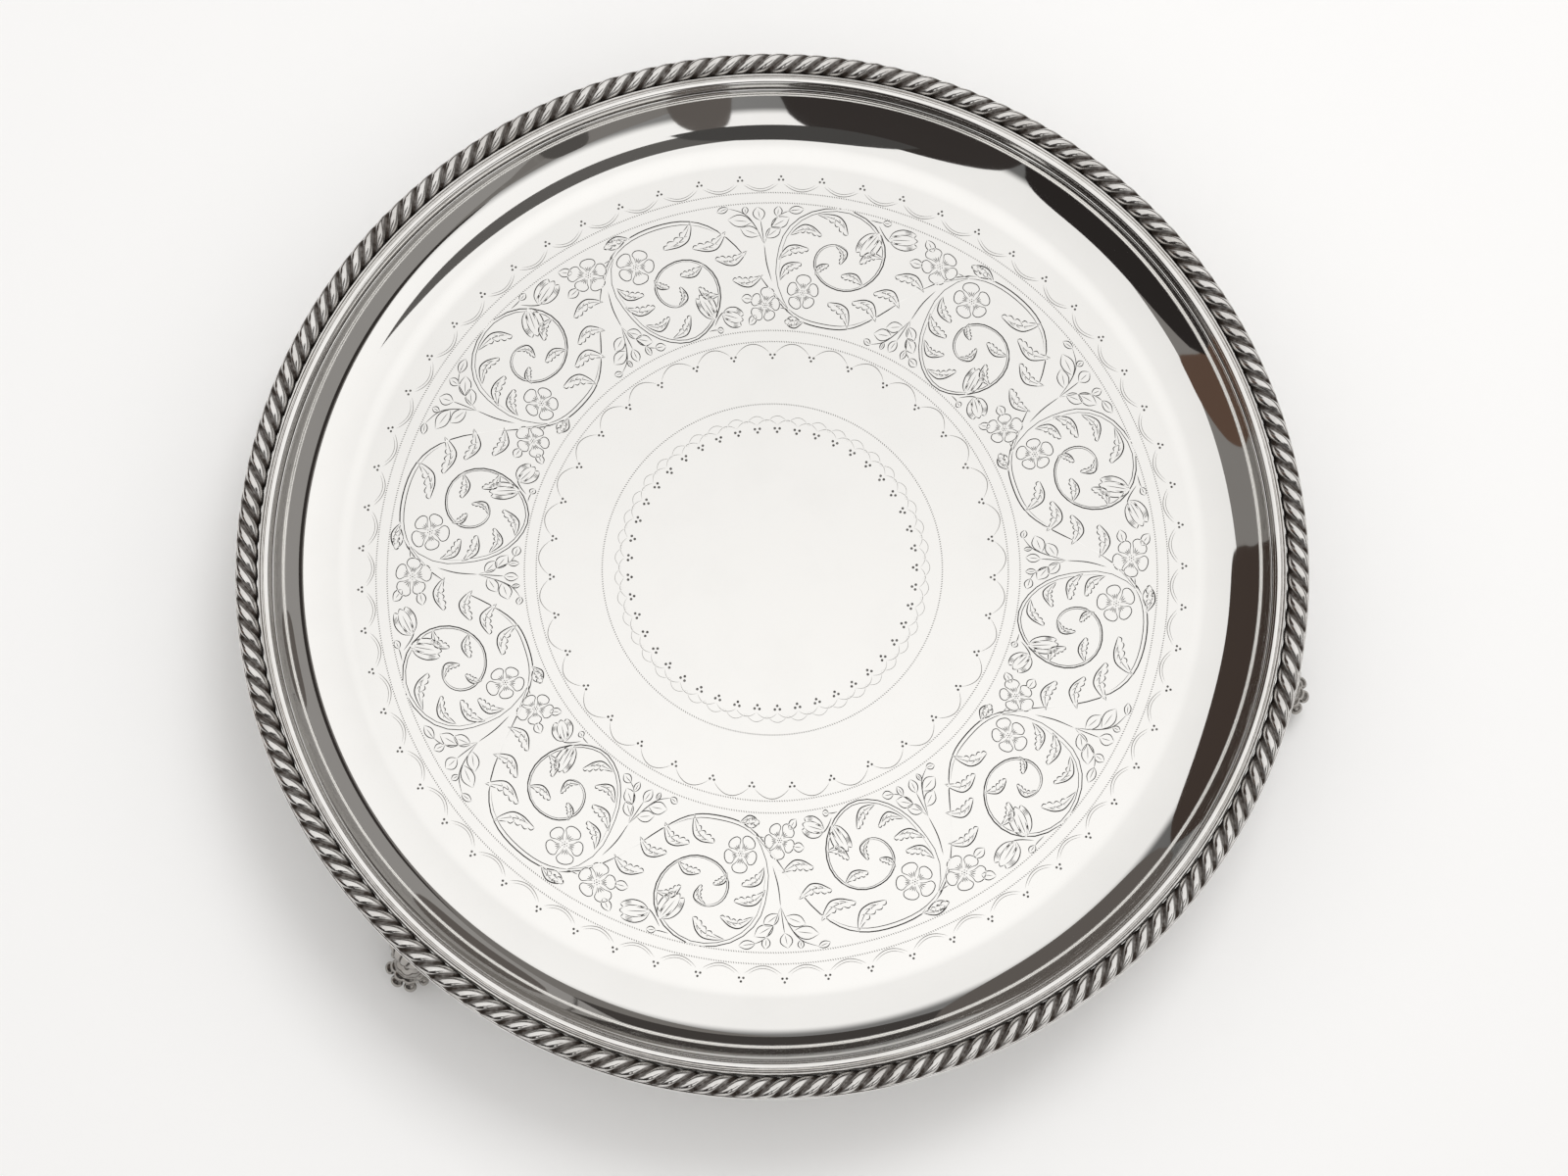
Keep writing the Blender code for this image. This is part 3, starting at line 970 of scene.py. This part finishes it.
def feet(leg_material, ball_material):
    """Each foot's claw, ball and plate, made once on the +X side and turned to the three places."""
    claw = claw_mesh()
    claw_points, claw_recess = chase_claw(claw)
    claw_faces = [tuple(p.vertices) for p in claw.polygons]
    ball_points, ball_faces, ball_recess = ball_shape()
    plate_points, plate_faces = plate_shape()
    plate_recess = [0.3] * len(plate_points)
    parts = (
        ("claw", claw_points, claw_faces, leg_material, "cast_foot_silver", claw_recess),
        ("ball", ball_points, ball_faces, ball_material, "ball_silver", ball_recess),
        ("plate", plate_points, plate_faces, leg_material, "cast_foot_silver", plate_recess),
    )
    for letter, angle in FEET.items():
        for kind, points, faces, material, slot, recess in parts:
            stands_for = (f"foot_{letter}_{kind}",)
            turned = turned_about_z(points, angle)
            piece(f"{kind}_{letter}", turned, faces, material, stands_for, recess)


# ----------------------------------------------------------- stage and light


def plain_material(name, colour, roughness):
    material = bpy.data.materials.new(name)
    material.use_nodes = True
    shader = material.node_tree.nodes["Principled BSDF"]
    shader.inputs["Base Color"].default_value = (*colour, 1)
    shader.inputs["Roughness"].default_value = roughness
    return material


def floor():
    mesh = bpy.data.meshes.new("floor")
    half = 3.0
    corners = [(-half, -half, 0), (half, -half, 0), (half, half, 0), (-half, half, 0)]
    mesh.from_pydata(corners, [], [(0, 1, 2, 3)])
    mesh.materials.append(plain_material("white_paper", (0.93, 0.925, 0.92), 0.9))
    obj = bpy.data.objects.new("floor", mesh)
    bpy.context.scene.collection.objects.link(obj)


def area_light(name, place, target, size, power):
    data = bpy.data.lights.new(name, "AREA")
    data.shape, data.size, data.size_y = "RECTANGLE", size[0], size[1]
    data.energy = power
    obj = bpy.data.objects.new(name, data)
    bpy.context.scene.collection.objects.link(obj)
    obj.location = place
    obj.rotation_euler = (Vector(target) - Vector(place)).to_track_quat("-Z", "Y").to_euler()
    return obj


def glowing_material(name, glow):
    """A surface of constant brightness, whatever the lamps do."""
    material = plain_material(name, (0, 0, 0), 1.0)
    shader = material.node_tree.nodes["Principled BSDF"]
    shader.inputs["Specular IOR Level"].default_value = 0.0
    shader.inputs["Emission Color"].default_value = (*glow, 1)
    shader.inputs["Emission Strength"].default_value = 1.0
    return material


def card(name, azimuth, half_width, low, high, glow, distance=1.6):
    """A card that is seen only in the silver, with its upper corners rounded off.

    It curves round the tray's centre, half_width degrees to each side of its azimuth, and reaches
    from a low to a high elevation in degrees.
    """
    rows, columns = 8, 24
    points = []
    for i in range(columns + 1):
        u = 2 * i / columns - 1
        a = math.radians(azimuth + half_width * u)
        top = low + (high - low) * (1 - u**4) ** 0.5
        for j in range(rows + 1):
            e = math.radians(low + (top - low) * j / rows)
            out = distance * math.cos(e)
            points.append((out * math.cos(a), out * math.sin(a), distance * math.sin(e)))
    mesh = bpy.data.meshes.new(name)
    mesh.from_pydata(points, [], grid_faces(columns + 1, rows + 1, False, False))
    mesh.materials.append(glowing_material(name, glow))
    obj = bpy.data.objects.new(name, mesh)
    bpy.context.scene.collection.objects.link(obj)
    obj.visible_camera = obj.visible_shadow = obj.visible_diffuse = False


def backdrop():
    """A pale dome round the stage. It is seen directly only, so the silver still mirrors the grey room."""
    dome = bmesh.new()
    bmesh.ops.create_uvsphere(dome, u_segments=48, v_segments=24, radius=9.0)
    mesh = bpy.data.meshes.new("backdrop")
    dome.to_mesh(mesh)
    dome.free()
    mesh.materials.append(glowing_material("backdrop", (0.86, 0.855, 0.845)))
    obj = bpy.data.objects.new("backdrop", mesh)
    bpy.context.scene.collection.objects.link(obj)
    obj.visible_glossy = obj.visible_diffuse = obj.visible_shadow = False


SKY_GLOW = 0.93
ROOM_GLOW = 0.2
DIFFUSER_EDGE = (20, 33)  # elevations in degrees, from the room to the full diffuser
OVERHEAD = (72, 0.12)  # elevation in degrees where it starts to get brighter, and by how much
BRIGHTER_SIDE = 0.1  # towards +X


def sky():
    """A wide white diffuser overhead, and a grey room below it."""
    world = bpy.data.worlds.new("studio")
    bpy.context.scene.world = world
    world.use_nodes = True
    n = Nodes(world.node_tree)
    background = world.node_tree.nodes["Background"]
    background.inputs["Color"].default_value = (1.0, 0.992, 0.98, 1)
    place = n.add("ShaderNodeTexCoord")
    parts = n.add("ShaderNodeSeparateXYZ")
    n.link(place.outputs["Generated"], parts.inputs[0])
    edge = n.add("ShaderNodeMapRange", interpolation_type="SMOOTHSTEP")
    edge.inputs["From Min"].default_value = math.sin(math.radians(DIFFUSER_EDGE[0]))
    edge.inputs["From Max"].default_value = math.sin(math.radians(DIFFUSER_EDGE[1]))
    edge.inputs["To Min"].default_value = ROOM_GLOW
    edge.inputs["To Max"].default_value = SKY_GLOW
    n.link(parts.outputs["Z"], edge.inputs["Value"])
    # The diffuser is a little brighter overhead and towards +X
    top = n.add("ShaderNodeMapRange", interpolation_type="SMOOTHSTEP")
    top.inputs["From Min"].default_value = math.sin(math.radians(OVERHEAD[0]))
    top.inputs["From Max"].default_value = 1.0
    top.inputs["To Max"].default_value = OVERHEAD[1]
    n.link(parts.outputs["Z"], top.inputs["Value"])
    side = n.add("ShaderNodeMath", operation="MULTIPLY_ADD")
    side.inputs[1].default_value = BRIGHTER_SIDE
    n.link(parts.outputs["X"], side.inputs[0])
    n.link(top.outputs["Result"], side.inputs[2])
    total = n.add("ShaderNodeMath", operation="ADD")
    n.link(edge.outputs["Result"], total.inputs[0])
    n.link(side.outputs[0], total.inputs[1])
    n.link(total.outputs[0], background.inputs["Strength"])


def light():
    """The view transform that the lights are set for, the room, the key lamp and the cards."""
    bpy.context.scene.view_settings.view_transform = "Standard"
    sky()
    backdrop()
    key = area_light("key", (0.55, 0.9, 1.9), (0, 0, 0), (0.9, 0.9), 13)
    key.visible_glossy = False
    black, brown, dim = (0.022, 0.019, 0.018), (0.05, 0.037, 0.031), (0.11, 0.098, 0.09)
    card("room_left", 185, 34, 0, 44, (0.2, 0.19, 0.18), 1.7)
    card("dark_behind", 150, 18, 0, 50, brown)
    card("dim_behind", 118, 14, 0, 31, dim)
    card("brown_post", 187, 7, 0, 46, (0.1, 0.062, 0.045), 1.65)
    card("dark_left", 212, 19, 0, 42, black)
    card("operator", 250, 19, 0, 62, (0.035, 0.03, 0.028))
    card("tripod_a", 281, 5, 0, 54, dim)
    card("tripod_b", 302, 4, 0, 26, (0.08, 0.075, 0.07))
    card("camera_arm", 302, 50, 57, 73, (0.11, 0.105, 0.1), 1.5)
    card("camera_body", 266, 22, 52, 74, (0.06, 0.058, 0.056), 1.45)
    card("post_right", 62, 8, 0, 17, dim)
    card("post_right_b", 26, 6, 0, 12, dim)
    card("streak_right", 8, 52, 27, 32, (0.03, 0.026, 0.024), 1.68)
    card("panel_right", 12, 66, 0, 30, (0.27, 0.26, 0.25), 1.7)
    card("grey_right", 20, 80, 0, 34, (0.17, 0.16, 0.15), 1.75)
    card("dark_far", 88, 22, 0, 20, (0.05, 0.045, 0.042), 1.7)
    card("grey_near", 318, 36, 0, 25, (0.19, 0.18, 0.17), 1.75)


def camera():
    """The photograph's angle: 13.3 degrees off the vertical, from the -Y side."""
    tilt = math.radians(13.3)
    distance = 0.9225
    aim = Vector((0, 0, WELL_Z))
    data = bpy.data.cameras.new("camera")
    data.sensor_width = 36.0
    data.lens = 73.53
    data.shift_x, data.shift_y = 0.0075, -0.0131
    obj = bpy.data.objects.new("camera", data)
    bpy.context.scene.collection.objects.link(obj)
    obj.location = aim + distance * Vector((0, -math.sin(tilt), math.cos(tilt)))
    obj.rotation_euler = (tilt, 0, 0)
    bpy.context.scene.camera = obj


def main():
    camera()
    sheet = metal("polished_sheet", (0.93, 0.92, 0.90), (0.91, 0.90, 0.88), (0.10, 0.092, 0.085), 0.03, 0.008)
    drawn = metal("drawn_silver", (0.90, 0.885, 0.865), (0.82, 0.80, 0.77), (0.10, 0.085, 0.075), 0.06, 0.01)
    cast = metal("cast_border", (0.80, 0.785, 0.765), (0.54, 0.515, 0.49), (0.07, 0.055, 0.046), 0.11, 0.03)
    claws = metal("cast_feet", (0.48, 0.46, 0.435), (0.33, 0.305, 0.28), (0.05, 0.04, 0.034), 0.17, 0.06)
    balls = metal("feet_balls", (0.72, 0.70, 0.67), (0.58, 0.56, 0.53), (0.08, 0.065, 0.055), 0.1, 0.02)
    tray(sheet)
    moulding(drawn)
    wire(drawn)
    for index in range(ROPE_LENGTHS):
        rope(index, cast)
    feet(claws, balls)
    floor()
    light()


main()
